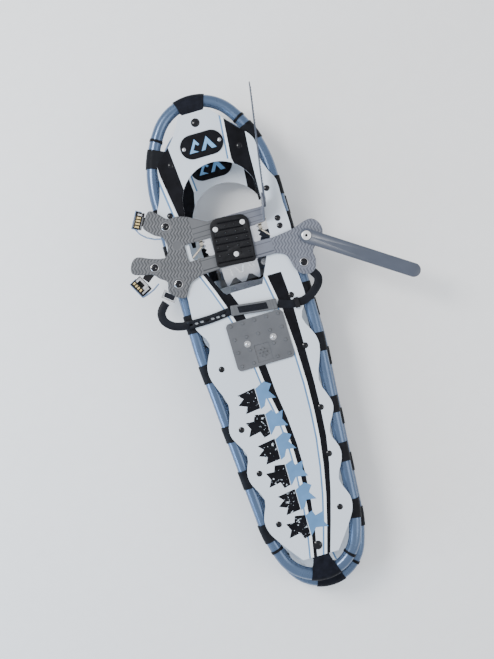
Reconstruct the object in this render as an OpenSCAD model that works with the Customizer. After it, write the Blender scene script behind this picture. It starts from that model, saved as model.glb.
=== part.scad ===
// Pair of aluminium-tube snowshoes, stacked face up, the second one under the first.
// Each shoe is modelled in its own frame: x to the right, y towards the toe, z up,
// with z = 0 on the centre line of the frame tube.

/* [Frame tube] */
// Outside diameter of the tube
tube_d = 22; // [20:1:23]
// Wall of the tube
tube_wall = 1.5; // [1:0.1:2.5]
// Distance of each rail's centre line from the middle of the shoe
rail_x = 107; // [105:0.5:109]
// Height of the toe arc's centre along the shoe
toe_arc_y = 362; // [360:0.5:364]

/* [Deck] */
// Thickness of the deck sheet
deck_t = 2.4; // [2:0.1:3]
// Thickness of the straps that wrap the tube
strap_t = 1.6; // [1.2:0.1:1.8]
// Radius of a deck rivet's dome
rivet_r = 5.5; // [5:0.1:6]
// Half width of the opening under the foot
opening_x = 73; // [72:0.5:75]

/* [Binding] */
// Thickness of the moulded harness
harness_t = 3; // [2.5:0.1:3]
// Height of the foot pad
pad_t = 5.2; // [4.5:0.1:6]
// Width of the toe straps
toe_strap_w = 25; // [22:1:27]
// Width of the heel strap
heel_strap_w = 15; // [13:0.5:17]

/* [Stack] */
// Distance from the upper shoe down to the lower one
stack_pitch = 65; // [65:0.5:75]
// How far the lower shoe sits to the right of the upper one
stack_dx = 6; // [4:0.5:8]
// How far the lower shoe sits behind the upper one
stack_dy = 31; // [29:0.5:33]

/* [Hidden] */
$fn = 64;

// ---- frame tube: arcs and straights of one half, mirrored for the other
tube_r = tube_d / 2;
bore_r = tube_r - tube_wall;
shoulder_r = 220;
shoulder_a = 35;
toe_arc_r = (rail_x - shoulder_r * (1 - cos(shoulder_a))) / cos(shoulder_a);
shoulder_c = [rail_x - shoulder_r, toe_arc_y + (toe_arc_r - shoulder_r) * sin(shoulder_a)];
bend_r = 400;
taper_a = 4.2;
bend_c = [rail_x - bend_r, 15];
taper_top = bend_c + bend_r * [cos(taper_a), -sin(taper_a)];
taper_l = 308;
taper_end = taper_top - taper_l * [sin(taper_a), cos(taper_a)];
haunch_r = 260;
haunch_a = 20;
haunch_c = taper_end - haunch_r * [cos(taper_a), -sin(taper_a)];
haunch_end = haunch_c + haunch_r * [cos(haunch_a), -sin(haunch_a)];
tail_arc_r = haunch_end.x / cos(haunch_a);
tail_arc_c = [0, haunch_end.y + tail_arc_r * sin(haunch_a)];
toe_joint_a = 30;
left_tail_joint_a = 16.5;
right_tail_joint_a = 45;

// ---- heights
strap_top = tube_r + strap_t;
tail_leaf = 2 * strap_t;
deck_z = strap_top;
deck_top = deck_z + deck_t;
plate_t = 2;
harness_z = deck_top + plate_t;
harness_top = harness_z + harness_t;
pad_top = harness_top + pad_t;
body_gap = 0.3;

// ---- rivets and clips along one side of the deck
rivet_shank_r = 2.5;
rivet_hole_r = 2.55;
side_rivets = [
    [64, 342], [90, 255], [94, 198], [94, 184], [79, 59], [78, -35],
    [74, -149], [65, -233], [57, -330]
];
end_rivets = [[0, 403], [0, -385]];
clip_l = 34;
straight_clips = [256, 58];
taper_clips = [[-36, 34], [-151, 30], [-238, 34]];
toe_clip_y = 362;
tail_clip_y = -341;
clip_tail = 36;
pivot_y = 193;
pivot_z = 6;
pivot_strap_y = 189;

// ---- binding
bind_x = 5;
pad_w = 71;
pad_l = 87;
pad_c = [bind_x, 181.5];
pin_r = 3;
ring_x = 55;
left_seam = -46;
right_seam = 62;
rear_strap_rivet = [134, 153];
front_strap_rivet = [77, 232];
front_strap_z = 46;
front_strap_turn = 8.8;
front_buckle_rivet = [-103, 238];
rear_buckle_rivet = [-142, 173];
heel_plate_c = [3, -4];

module upper() {
    translate([-pad_c.x, -pad_c.y, -pad_top]) children();
}
module lower() {
    upper() translate([stack_dx, -stack_dy, -stack_pitch]) children();
}
module both_sides() {
    children();
    mirror([1, 0, 0]) children();
}

// A smooth closed-form curve through hand-placed stations (Catmull-Rom)
function blend_point(a, b, c, d, t) =
    0.5 * ((2 * b) + (c - a) * t + (2 * a - 5 * b + 4 * c - d) * t * t
        + (3 * b - a - 3 * c + d) * t * t * t);
function smooth(p, n = 3) = [
    for (i = [0:len(p) - 2], k = [0:n - 1])
        blend_point(p[max(i - 1, 0)], p[i], p[i + 1],
            p[min(i + 2, len(p) - 1)], k / n),
    p[len(p) - 1]
];
function mirrored(p) = [for (i = [len(p) - 1:-1:0]) [-p[i].x, p[i].y]];
// Outline of a flat ribbon of width w along a route
function along(p, i) =
    let (d = p[min(i + 1, len(p) - 1)] - p[max(i - 1, 0)]) d / norm(d);
function ribbon(p, w) = concat(
    [for (i = [0:len(p) - 1]) p[i] + w / 2 * [-along(p, i).y, along(p, i).x]],
    [for (i = [len(p) - 1:-1:0]) p[i] - w / 2 * [-along(p, i).y, along(p, i).x]]
);

// ---- tube pieces
module ring_profile(outer, inner) {
    difference() {
        circle(outer);
        circle(inner);
    }
}
module bent(c, r, from, to) {
    translate([c.x, c.y, 0]) rotate([0, 0, from])
        rotate_extrude(angle = to - from, $fn = 180)
            translate([r, 0]) children();
}
module straight(p, q) {
    d = q - p;
    translate([p.x, p.y, 0]) rotate([0, 0, atan2(d.y, d.x)])
        rotate([90, 0, 90]) linear_extrude(norm(d)) children();
}
// Sections of one tube stop just short of each other; a ring inside the wall joins them
section_gap = 0.06;
module tube_bent(c, r, from, to) {
    trim = section_gap / 2 / r * 180 / PI;
    bent(c, r, from + trim, to - trim) ring_profile(tube_r, bore_r);
}
module tube_straight(p, q) {
    trim = section_gap / 2 * (q - p) / norm(q - p);
    straight(p + trim, q - trim) ring_profile(tube_r, bore_r);
}
module splice(c, r, a) {
    translate([c.x, c.y, 0]) rotate([0, 0, a]) translate([r, 1, 0]) rotate([90, 0, 0])
        linear_extrude(2) ring_profile(tube_r - tube_wall / 3, bore_r - 1);
}
module rail(tail_to_arc) {
    tube_bent(shoulder_c, shoulder_r, 0, toe_joint_a);
    splice(shoulder_c, shoulder_r, 0);
    tube_straight(bend_c + [bend_r, 0], shoulder_c + [shoulder_r, 0]);
    splice(bend_c, bend_r, 0);
    tube_bent(bend_c, bend_r, -taper_a, 0);
    splice(bend_c, bend_r, -taper_a);
    tube_straight(taper_end, taper_top);
    splice(haunch_c, haunch_r, -taper_a);
    tube_bent(haunch_c, haunch_r, -tail_to_arc, -taper_a);
}
module toe_bow_shape() {
    color("lightsteelblue") {
        tube_bent([0, toe_arc_y], toe_arc_r, shoulder_a, 180 - shoulder_a);
        both_sides() {
            tube_bent(shoulder_c, shoulder_r, toe_joint_a, shoulder_a);
            splice(shoulder_c, shoulder_r, shoulder_a);
        }
    }
}
module right_rail_shape() {
    color("lightsteelblue") {
        rail(haunch_a);
        splice(haunch_c, haunch_r, -haunch_a);
        tube_bent(tail_arc_c, tail_arc_r, -right_tail_joint_a, -haunch_a);
    }
}
module left_rail_shape() {
    color("lightsteelblue") mirror([1, 0, 0]) rail(left_tail_joint_a);
}
module tail_bow_shape() {
    color("lightsteelblue") {
        tube_bent(tail_arc_c, tail_arc_r, -180 + haunch_a, -right_tail_joint_a);
        mirror([1, 0, 0]) {
            splice(haunch_c, haunch_r, -haunch_a);
            tube_bent(haunch_c, haunch_r, -haunch_a, -left_tail_joint_a);
        }
    }
}
collar_t = 1.1;
collar_l = 5;
module collar(c, r, a) {
    half = collar_l / 2 / r * 180 / PI;
    bent(c, r, a - half, a + half) ring_profile(tube_r + collar_t, tube_r);
}
module frame_collars_shape() {
    color("black") {
        both_sides() collar(shoulder_c, shoulder_r, toe_joint_a);
        collar(tail_arc_c, tail_arc_r, -right_tail_joint_a);
        mirror([1, 0, 0]) collar(haunch_c, haunch_r, -left_tail_joint_a);
    }
}

// ---- deck sheet: scalloped between the clips, open under the foot
deck_side = [
    [29, 422], [56, 391], [72, 373], [88, 356], [94, 339], [93, 311],
    [102, 284], [111, 264], [111, 225], [112, 207], [112, 172], [104, 160],
    [101, 110], [103, 74], [102, 46], [86, 15], [101, -22], [101, -50],
    [84, -100], [95, -140], [94, -160], [77, -195], [86, -226], [84, -248],
    [69, -281], [80, -315], [78, -338], [67, -358], [50, -382], [33, -404]
];
deck_left_toe = [[27, 422], [42, 395], [59, 374], [76, 360], [88, 344]];
deck_left_side = concat(deck_left_toe, [for (i = [len(deck_left_toe):len(deck_side) - 1]) deck_side[i]]);
opening_rear = [[56, 138], [35, 92]];
opening_right = concat([[74.5, 262], [opening_x, 172]], opening_rear);
opening_left = concat([[62.5, 262], [67, 235], [72, 200], [opening_x, 172]], opening_rear);
arch_c = [6, 258];
arch_r = 69;
module deck_shape() {
    color("gainsboro") difference() {
        translate([0, 0, deck_z]) linear_extrude(deck_t)
            polygon(concat(smooth(deck_side), mirrored(smooth(deck_left_side))));
        translate([0, 0, deck_z - 1]) {
            translate(arch_c) cylinder(h = deck_t + 2, r = arch_r);
            linear_extrude(deck_t + 2)
                polygon(concat(opening_right, mirrored(opening_left)));
        }
        rivet_holes(deck_z - 1, deck_t + 2);
        both_heel_bolts() translate([0, 0, deck_z - 1]) cylinder(h = deck_t + 2, r = rivet_hole_r);
    }
}
module rivet_holes(z, h) {
    both_sides() for (p = side_rivets)
        translate([p.x, p.y, z]) cylinder(h = h, r = rivet_hole_r);
    for (p = end_rivets)
        translate([p.x, p.y, z]) cylinder(h = h, r = rivet_hole_r);
}

// ---- straps round the tube: a ring and a doubled leaf under the deck
module strap_profile(leaf, t = strap_t) {
    difference() {
        union() {
            circle(tube_r + t);
            translate([-leaf, strap_top - tail_leaf]) square([leaf, tail_leaf]);
        }
        circle(tube_r);
        translate([-tube_r - t, strap_top]) square([2 * (tube_r + t), t]);
    }
}
module strap_bent(c, r, mid, l, leaf) {
    half = l / 2 / r * 180 / PI;
    bent(c, r, mid - half, mid + half) strap_profile(leaf);
}
module strap_straight(p, q, leaf) {
    // q is nearer the tail, so that the leaf points to the middle of the shoe
    d = p - q;
    translate([q.x, q.y, 0]) rotate([0, 0, atan2(d.y, d.x) - 90])
        rotate([90, 0, 0]) mirror([0, 0, 1]) linear_extrude(norm(d))
            strap_profile(leaf);
}
module toe_wrap_shape() {
    color("black") difference() {
        strap_bent([0, toe_arc_y], toe_arc_r, 90, 52, 52);
        rivet_holes(-tube_d, 2 * tube_d);
    }
}
module tail_wrap_shape() {
    color("black") difference() {
        strap_bent(tail_arc_c, tail_arc_r, -90, 50, 66);
        rivet_holes(-tube_d, 2 * tube_d);
    }
}
function taper_x(y) = taper_top.x - (taper_top.y - y) * tan(taper_a);
module deck_clips_shape() {
    color("black") difference() {
        both_sides() {
            strap_bent(shoulder_c, shoulder_r,
                asin((toe_clip_y - shoulder_c.y) / shoulder_r), clip_l, clip_tail + 6);
            for (y = straight_clips)
                strap_straight([rail_x, y + clip_l / 2], [rail_x, y - clip_l / 2], clip_tail);
            for (c = taper_clips)
                strap_straight([taper_x(c[0] + c[1] / 2), c[0] + c[1] / 2],
                    [taper_x(c[0] - c[1] / 2), c[0] - c[1] / 2], clip_tail);
            strap_bent(haunch_c, haunch_r,
                asin((tail_clip_y - haunch_c.y) / haunch_r), clip_l, clip_tail);
        }
        rivet_holes(0, 2 * tube_d);
    }
}
module pivot_straps_shape() {
    color("black") difference() {
        both_sides() strap_straight([rail_x, pivot_strap_y + clip_l / 2],
            [rail_x, pivot_strap_y - clip_l / 2], rail_x - 81);
        rivet_holes(0, 2 * tube_d);
    }
}

// ---- rivets: dome on the deck, shank, and a flange under the leaf
module dome(r, h) {
    ball = (r * r + h * h) / (2 * h);
    rotate_extrude() intersection() {
        translate([0, h - ball]) circle(ball);
        square([r, h]);
    }
}
flange_t = 1.2;
module deck_rivet(r) {
    translate([0, 0, deck_top]) dome(r, 0.3 * r);
    translate([0, 0, deck_z - tail_leaf - flange_t])
        cylinder(h = tail_leaf + deck_t + flange_t + 0.1, r = rivet_shank_r);
    translate([0, 0, deck_z - tail_leaf - flange_t]) cylinder(h = flange_t, r = 0.55 * r);
}
module deck_rivets_shape() {
    color("black") {
        both_sides() for (p = side_rivets) translate([p.x, p.y, 0]) deck_rivet(rivet_r);
        for (p = end_rivets) translate([p.x, p.y, 0]) deck_rivet(8);
    }
}

// ---- badge on the toe of the deck
badge_t = 1.2;
badge_end_x = 17.5;
badge_end_r = 22;
module badge_plate_shape() {
    color("black") translate([0, toe_arc_y, deck_top]) difference() {
        union() {
            both_sides() translate([badge_end_x, 0, 0]) cylinder(h = badge_t, r = badge_end_r);
            translate([-badge_end_x, -badge_end_r, 0])
                cube([2 * badge_end_x, 2 * badge_end_r, badge_t]);
        }
        both_sides() translate([33, 0, -1]) cylinder(h = badge_t + 2, r = 1.55);
    }
}
module badge_rivets_shape() {
    color("silver") both_sides() translate([33, toe_arc_y, deck_top]) {
        cylinder(h = badge_t + 0.1, r = 1.5);
        translate([0, 0, badge_t]) dome(3.5, 1.5);
    }
}

// ---- heel plate with studs, its two bolts, and the crampon under the deck
heel_plate_size = [106, 88];
heel_plate_t = 3;
heel_plate_corner = 8;
heel_bolt_x = 24;
stud_xs = [-44, -22, 0, 22, 44];
stud_ys = [38, 13, -11, -36];
module round_plate(size, corner, t) {
    // a flat plate with round corners, made of true cylinders
    for (sx = [-1, 1], sy = [-1, 1])
        translate([sx * (size.x / 2 - corner), sy * (size.y / 2 - corner), 0])
            cylinder(h = t, r = corner);
    translate([-size.x / 2 + corner, -size.y / 2, 0])
        cube([size.x - 2 * corner, size.y, t]);
    translate([-size.x / 2, -size.y / 2 + corner, 0])
        cube([size.x, size.y - 2 * corner, t]);
}
module heel_plate_shape() {
    color("dimgray") translate([heel_plate_c.x, heel_plate_c.y, deck_top]) {
        difference() {
            round_plate(heel_plate_size, heel_plate_corner, heel_plate_t);
            translate([-14, -38, heel_plate_t - 1.2]) cube([28, 32, 2]);
            both_sides() translate([heel_bolt_x, 0, -1])
                cylinder(h = heel_plate_t + 2, r = rivet_hole_r);
        }
        for (x = stud_xs, y = stud_ys)
            if (abs(x) > 16 || y > 0)
                translate([x, y, heel_plate_t - 0.1]) cylinder(h = 1.6, r1 = 3.2, r2 = 2.4);
    }
}
module heel_bolts_shape() {
    color("silver") both_heel_bolts() {
        translate([0, 0, deck_top + heel_plate_t]) cylinder(h = 0.8, r = 6);
        translate([0, 0, deck_top + heel_plate_t + 0.7]) dome(4.2, 1.8);
        translate([0, 0, deck_z - 6]) cylinder(h = deck_t + heel_plate_t + 6.5, r = rivet_shank_r);
        translate([0, 0, deck_z - plate_t - 3.5]) cylinder(h = 3.5, r = 4.6, $fn = 6);
    }
}
module both_heel_bolts() {
    for (s = [-1, 1])
        translate([heel_plate_c.x + s * heel_bolt_x, heel_plate_c.y, 0]) children();
}
module tooth_blade(w, top, root, tip, n) {
    // toothed blade in the xz plane, tips pointing down
    pitch = w / n;
    rotate([90, 0, 0]) translate([0, 0, -plate_t / 2]) linear_extrude(plate_t)
        polygon(concat(
            [[w / 2, root], [w / 2, top], [-w / 2, top], [-w / 2, root]],
            [for (i = [0:n - 1], k = [0:2])
                [-w / 2 + (i + [0.2, 0.5, 0.8][k]) * pitch, k == 1 ? tip : root]]));
}
module heel_crampon_shape() {
    color("silver") difference() {
        translate([heel_plate_c.x, heel_plate_c.y, 0]) {
            translate([-42, -34, deck_z - plate_t]) cube([84, 68, plate_t]);
            for (y = [-33, 33]) translate([0, y, 0])
                tooth_blade(84, deck_z, -12, -32, 6);
        }
        both_heel_bolts() translate([0, 0, -1]) cylinder(h = 30, r = rivet_hole_r);
    }
}

// ---- pivot: wire rings hung from the straps, with an eye for each pin
wire_r = 1.75;
eye_r = 6.6;
wire_at_eye = 5.2;
eye_l = 6;
ring_bar_x = 79;
ring_ends = [pivot_strap_y + 16, pivot_strap_y - 22];
ring_bar_z = deck_z - wire_r - 0.25;
module wire(p, q) {
    d = q - p;
    translate(p) rotate([0, acos(d.z / norm(d)), atan2(d.y, d.x)])
        cylinder(h = norm(d), r = wire_r);
}
module pivot_ring(eye_x) {
    difference() {
        union() {
            translate([eye_x - eye_l / 2, pivot_y, pivot_z]) rotate([0, 90, 0])
                cylinder(h = eye_l, r = eye_r);
            for (y = ring_ends) {
                wire([eye_x, pivot_y + sign(y - pivot_y) * wire_at_eye, pivot_z],
                    [ring_bar_x, y, ring_bar_z]);
                translate([ring_bar_x, y, ring_bar_z]) sphere(wire_r + 0.15);
            }
            wire([ring_bar_x, ring_ends[0], ring_bar_z], [ring_bar_x, ring_ends[1], ring_bar_z]);
        }
        translate([eye_x - eye_l, pivot_y, pivot_z]) rotate([0, 90, 0])
            cylinder(h = 2 * eye_l, r = pin_r + 0.2);
    }
}
module pivot_rings_shape() {
    color("goldenrod") {
        pivot_ring(bind_x + ring_x);
        mirror([1, 0, 0]) pivot_ring(ring_x - bind_x);
    }
}

// ---- toe crampon: base plate, side plates with the pins, claws behind and below
side_plate_x = 46;
wing_teeth = 4;
module toe_crampon_shape() {
    color("silver") translate([bind_x, 0, 0]) difference() {
        union() {
            translate([0, 0, harness_z - plate_t]) linear_extrude(plate_t)
                polygon(wing_outline());
            both_sides() side_plate();
            translate([0, 200.5, 0]) tooth_blade(70, harness_z - 0.5, -8, -29, 5);
            rear_claws();
        }
        for (p = pad_screw_points()) translate([p.x - bind_x, p.y, 0])
            cylinder(h = 40, r = 1.65);
    }
}
function wing_outline() = concat(
    [[36, 226], [-36, 226], [-36, 199]],
    [for (i = [0:wing_teeth - 1], k = [0, 1])
        [k == 0 ? -52 : -48, 197 - (i + k / 2) * 7.5]],
    [[-48, 167], [-36, 165], [-35, 138], [35, 138], [36, 165], [48, 167]],
    [for (i = [wing_teeth - 1:-1:0], k = [1, 0])
        [k == 0 ? 52 : 48, 197 - (i + k / 2) * 7.5]],
    [[36, 199]]);
module side_plate() {
    // upright plate that carries the pivot pin
    translate([side_plate_x - plate_t, 0, 0]) rotate([90, 0, 90]) linear_extrude(plate_t)
        polygon([[170, harness_z - 0.5], [170, 0], [175, -12], [181, -27], [186, -9],
            [193, -31], [200, -9], [205, -27], [211, -12], [216, 0], [216, harness_z - 0.5]]);
    translate([side_plate_x - plate_t, pivot_y, pivot_z]) rotate([0, 90, 0])
        cylinder(h = 15, r = pin_r);
}
rear_claw_slope = 32;
module rear_claws() {
    // plate that slopes down behind the foot and ends in three claws
    translate([0, 139, harness_z - plate_t]) rotate([rear_claw_slope, 0, 0]) difference() {
        linear_extrude(plate_t) polygon([[33, 0], [33, -22], [31, -37], [27, -37], [18, -26],
            [12, -24], [4, -37], [-4, -37], [-12, -24], [-18, -26], [-27, -37], [-31, -37],
            [-33, -22], [-33, 0]]);
        for (x = [-20, 0, 20]) translate([x - 1.5, -16, plate_t - 0.6]) cube([3, 13, 1]);
    }
}

// ---- foot pad: flat lands with rows of bumps sunk between them
pad_corner = 9;
pad_turn = -5.2;
bump_xs = [-27, -9, 9, 27];
bump_ys = [20, 5.5, -10.5, -26];
bump_field = [62, 8];
function pad_screw_points() = [
    [pad_c.x - 24, pad_c.y + 26.5], [pad_c.x + 26, pad_c.y + 26.5], [pad_c.x, pad_c.y - 25.5]];
module foot_pad_shape() {
    color("black") difference() {
        translate([pad_c.x, pad_c.y, harness_top]) rotate([0, 0, pad_turn]) difference() {
            round_plate([pad_w, pad_l], pad_corner, pad_t);
            for (y = bump_ys) translate([0, y, pad_t - 1.4]) difference() {
                translate([-bump_field.x / 2, -bump_field.y / 2, 0])
                    cube([bump_field.x, bump_field.y, 2]);
                for (x = bump_xs) translate([x, 0, -0.5]) cylinder(h = 1.5, r = 2.6);
            }
            translate([-10, 31, pad_t - 1.4]) difference() {
                translate([-3, -3, 0]) cube([26, 6, 2]);
                for (x = [2, 18]) translate([x, 0, -0.5]) cylinder(h = 1.5, r = 2);
            }
        }
        for (p = pad_screw_points()) translate([p.x, p.y, 0]) {
            cylinder(h = 40, r = 1.65);
            translate([0, 0, pad_top - 2.4]) cylinder(h = 5, r = 4.6);
        }
    }
}
module pad_screws_shape() {
    color("gray") for (p = pad_screw_points()) translate([p.x, p.y, 0]) {
        difference() {
            translate([0, 0, pad_top - 2.4]) cylinder(h = 1.8, r = 4.2);
            translate([-3, -0.5, pad_top - 1.2]) cube([6, 1, 2]);
            translate([-0.5, -3, pad_top - 1.2]) cube([1, 6, 2]);
        }
        translate([0, 0, harness_z - plate_t - 3]) cylinder(h = pad_top - harness_z + 3, r = 1.6);
        translate([0, 0, harness_z - plate_t - 3]) cylinder(h = 3, r = 3.4, $fn = 6);
    }
}

// ---- harness: the moving base, and the arms that lie out over the deck
arm_hole_r = 2.1;
arm_shank_r = 2;
module harness_sheet(outline) {
    translate([0, 0, harness_z]) linear_extrude(harness_t) polygon(outline);
}
module harness_base_shape() {
    inner = [left_seam + body_gap / 2, right_seam - body_gap / 2];
    color("gray") difference() {
        harness_sheet([
            [inner[0], 236], [-30, 227], [41, 227], [inner[1], 226], [inner[1], 198],
            [42, 197], [42, 168], [inner[1], 167.5], [inner[1], 138], [40, 139],
            [-31, 139], [inner[0], 138], [inner[0], 166], [-32, 166], [-32, 197],
            [inner[0], 197]]);
        for (p = pad_screw_points()) translate([p.x, p.y, 0]) cylinder(h = 40, r = 1.65);
    }
}
left_edge = left_seam - body_gap / 2;
right_edge = right_seam + body_gap / 2;
left_arm_side = [
    [left_edge, 236], [-62, 245], [-78, 250], [-97, 251], [-108, 262], [-122, 273], [-131, 268],
    [-137.5, 256.5], [-142.5, 246], [-127, 229], [-115, 222], [-110, 209], [-111, 196], [-120, 185],
    [-145, 191], [-167, 200], [-180, 192], [-184, 174], [-166, 166], [-149, 162],
    [-138, 151], [-127, 142], [-130, 125], [-118, 111], [-103, 106], [-96, 116],
    [-85, 130], [-62, 137], [left_edge, 138]
];
module left_arms_shape() {
    color("gray") difference() {
        harness_sheet(concat(smooth(left_arm_side, 3),
            [[left_edge, 166], [-80, 166], [-80, 197], [left_edge, 197]]));
        for (p = left_arm_rivets) translate([p.x, p.y, 0]) cylinder(h = 40, r = arm_hole_r);
    }
}
left_arm_rivets = [front_buckle_rivet, rear_buckle_rivet, [-109, 133]];
right_arm_rivet = [117, 109];
rear_right_side = [
    [right_edge, 167.5], [75, 167], [95, 169], [115, 172], [136, 179], [152, 180], [163, 168],
    [164, 150], [146, 133], [138, 122], [139, 108], [133, 91], [120, 86], [105, 92],
    [97, 106], [91, 128], [76, 137], [right_edge, 138]
];
module rear_right_arm_shape() {
    color("gray") difference() {
        harness_sheet(smooth(rear_right_side, 3));
        for (p = [rear_strap_rivet, right_arm_rivet])
            translate([p.x, p.y, 0]) cylinder(h = 40, r = arm_hole_r);
    }
}
module strap_plane() {
    // local x runs along the upright front strap, local y up, local z to the left
    translate([front_strap_rivet.x, front_strap_rivet.y, front_strap_z])
        rotate([90, 0, 90 - front_strap_turn]) children();
}
front_arm_gap = 0.3;
module front_right_arm_shape() {
    up = front_strap_z - harness_z;
    color("gray") {
        harness_sheet([[right_edge, 198], [right_edge, 226], [74, 226], [70, 198]]);
        strap_plane() translate([0, 0, -harness_t - front_arm_gap]) difference() {
            linear_extrude(harness_t) polygon([[-35, -up], [-6, -up], [10, -14], [14, 0],
                [10, 10], [0, 14], [-10, 12], [-24, -8]]);
            translate([0, 0, -1]) cylinder(h = harness_t + 2, r = arm_hole_r);
        }
    }
}
module arm_rivet(z, top) {
    // black centre in a steel washer
    translate([0, 0, z]) cylinder(h = top - z + 0.1, r = arm_shank_r);
    translate([0, 0, top]) cylinder(h = 0.8, r = 7);
    translate([0, 0, top + 0.7]) dome(4.6, 2);
}
module arm_rivets_shape() {
    color("silver") {
        for (p = concat(left_arm_rivets, [right_arm_rivet]))
            translate([p.x, p.y, 0]) arm_rivet(deck_top + body_gap, harness_top);
        translate([rear_strap_rivet.x, rear_strap_rivet.y, 0]) {
            translate([0, 0, deck_top + body_gap])
                cylinder(h = strap_rivet_top - deck_top, r = arm_shank_r);
            translate([0, 0, strap_rivet_top]) cylinder(h = 0.9, r = 8);
        }
        strap_plane() {
            translate([0, 0, -harness_t - front_arm_gap - 0.8]) cylinder(h = 0.8, r = 7);
            translate([0, 0, -harness_t - front_arm_gap - 0.1])
                cylinder(h = harness_t + strap_rise + 0.9, r = arm_shank_r);
            translate([0, 0, strap_rise + 0.4]) cylinder(h = 0.8, r = 7);
        }
    }
}

// ---- toe straps: a plain face, and ratchet teeth on the other
toe_strap_t = 1.8;
tooth_h = 1.2;
tooth_pitch = 5;
strap_rise = toe_strap_t + tooth_h;
strap_rivet_top = harness_top + body_gap + strap_rise + body_gap;
front_strap_l = 205;
rear_strap_l = 214;
rear_strap_turn = -34;
front_strap_rise_a = 8;
module toe_strap(l) {
    // lies along +x from its rivet, toothed side down
    root = 30;
    n = floor((l - root - 8) / tooth_pitch);
    difference() {
        union() {
            intersection() {
                rotate([90, 0, 0]) translate([0, 0, -toe_strap_w / 2])
                    linear_extrude(toe_strap_w) polygon(concat(
                        [[l, tooth_h], [l, strap_rise], [0, strap_rise], [0, 0], [root, 0]],
                        [for (i = [0:n - 1], k = [0, 1])
                            [root + (i + k) * tooth_pitch - 0.4 * k, k == 0 ? tooth_h : 0.2]],
                        [[root + n * tooth_pitch, tooth_h]]));
                translate([0, 0, -1]) union() {
                    translate([0, -toe_strap_w / 2, 0])
                        cube([l - toe_strap_w / 2, toe_strap_w, 9]);
                    translate([l - toe_strap_w / 2, 0, 0]) cylinder(h = 9, d = toe_strap_w);
                }
            }
            cylinder(h = strap_rise, d = toe_strap_w);
        }
        translate([0, 0, -1]) cylinder(h = 9, r = arm_hole_r + 0.1);
    }
}
module rear_toe_strap_shape() {
    color("gray") translate([rear_strap_rivet.x, rear_strap_rivet.y, harness_top + body_gap])
        rotate([0, 0, rear_strap_turn]) toe_strap(rear_strap_l);
}
module front_toe_strap_shape() {
    // toothed side to the right
    color("gray") strap_plane() rotate([0, 0, front_strap_rise_a])
        translate([0, 0, strap_rise]) mirror([0, 0, 1]) toe_strap(front_strap_l);
}

// ---- ratchet buckles under the left arms
tang_z = deck_top + body_gap + 0.1;
tang_t = 1.3;
buckle_low = 6;
buckle_top = harness_z - 0.3;
module tang(l, w) {
    // thin steel arm from the rivet, along +x
    translate([0, 0, tang_z]) difference() {
        union() {
            cylinder(h = tang_t, d = w);
            translate([0, -w / 2, 0]) cube([l, w, tang_t]);
        }
        translate([0, 0, -1]) cylinder(h = tang_t + 2, r = arm_shank_r + 0.2);
    }
}
module buckle_body(l, w) {
    // black block with a pair of cheeks; the lever's pin runs across near its far end
    difference() {
        translate([0, -w / 2, buckle_low]) cube([l, w, buckle_top - buckle_low]);
        translate([4, -w / 2 + 3, buckle_low + 2]) cube([l - 8, w - 6, 30]);
        translate([-1, -w / 2 + 3, buckle_low + 2]) cube([l + 2, w - 6, 4]);
        translate([l - 12, -w / 2 + 3, buckle_low + 2]) cube([14, w - 6, 30]);
        translate([l - 5, -w, lever_pin_z]) rotate([-90, 0, 0])
            cylinder(h = 2 * w, r = lever_pin_r + 0.1);
    }
}
lever_pin_r = 1.2;
lever_pin_z = 14;
module buckle_lever(l, w) {
    // silver lever: hub on the pin, handle plate above the block
    translate([l - 5, -w / 2 + 0.4, lever_pin_z]) rotate([-90, 0, 0])
        cylinder(h = w - 0.8, r = lever_pin_r);
    translate([l - 5, -w / 2 + 3.5, lever_pin_z]) rotate([-90, 0, 0])
        cylinder(h = w - 7, r = 2.4);
    translate([l - 5 - 2, -w / 2 + 3.5, lever_pin_z]) cube([4, w - 7, harness_z + 0.2 - lever_pin_z]);
    difference() {
        translate([2, -w / 2 + 1, harness_z + 0.1]) cube([l - 9, w - 2, 2]);
        translate([6, -w / 2 + 5, harness_z]) cube([l - 18, w - 10, 4]);
    }
}
front_buckle_a = 151;
front_buckle_l = 31;
front_buckle_w = 15;
front_buckle_reach = 49.8;
rear_buckle_reach = 41;
rear_buckle_a = 217.5;
rear_buckle_l = 31;
rear_buckle_w = 22;
module at_front_buckle() {
    translate([front_buckle_rivet.x, front_buckle_rivet.y, 0])
        rotate([0, 0, front_buckle_a]) children();
}
module on_front_tang() {
    // the block is turned across the end of its tang
    translate([front_buckle_reach, 0, 0]) rotate([0, 0, -90])
        translate([-front_buckle_l / 2, 0, 0]) children();
}
module at_rear_buckle() {
    translate([rear_buckle_rivet.x, rear_buckle_rivet.y, 0])
        rotate([0, 0, rear_buckle_a]) children();
}
module on_rear_tang() {
    translate([rear_buckle_reach, 0, 0]) rotate([0, 0, 80.5])
        translate([-rear_buckle_l / 2, 0, 0]) children();
}
module front_buckle_shape() {
    color("black") at_front_buckle() {
        tang(42, 16);
        on_front_tang() buckle_body(front_buckle_l, front_buckle_w);
    }
}
module front_buckle_lever_shape() {
    color("silver") at_front_buckle() on_front_tang()
        buckle_lever(front_buckle_l, front_buckle_w);
}
module rear_buckle_shape() {
    color("black") at_rear_buckle() {
        tang(28, 14);
        on_rear_tang() buckle_body(rear_buckle_l, rear_buckle_w);
    }
}
module rear_buckle_lever_shape() {
    color("silver") at_rear_buckle() on_rear_tang()
        buckle_lever(rear_buckle_l, rear_buckle_w);
}

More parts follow.
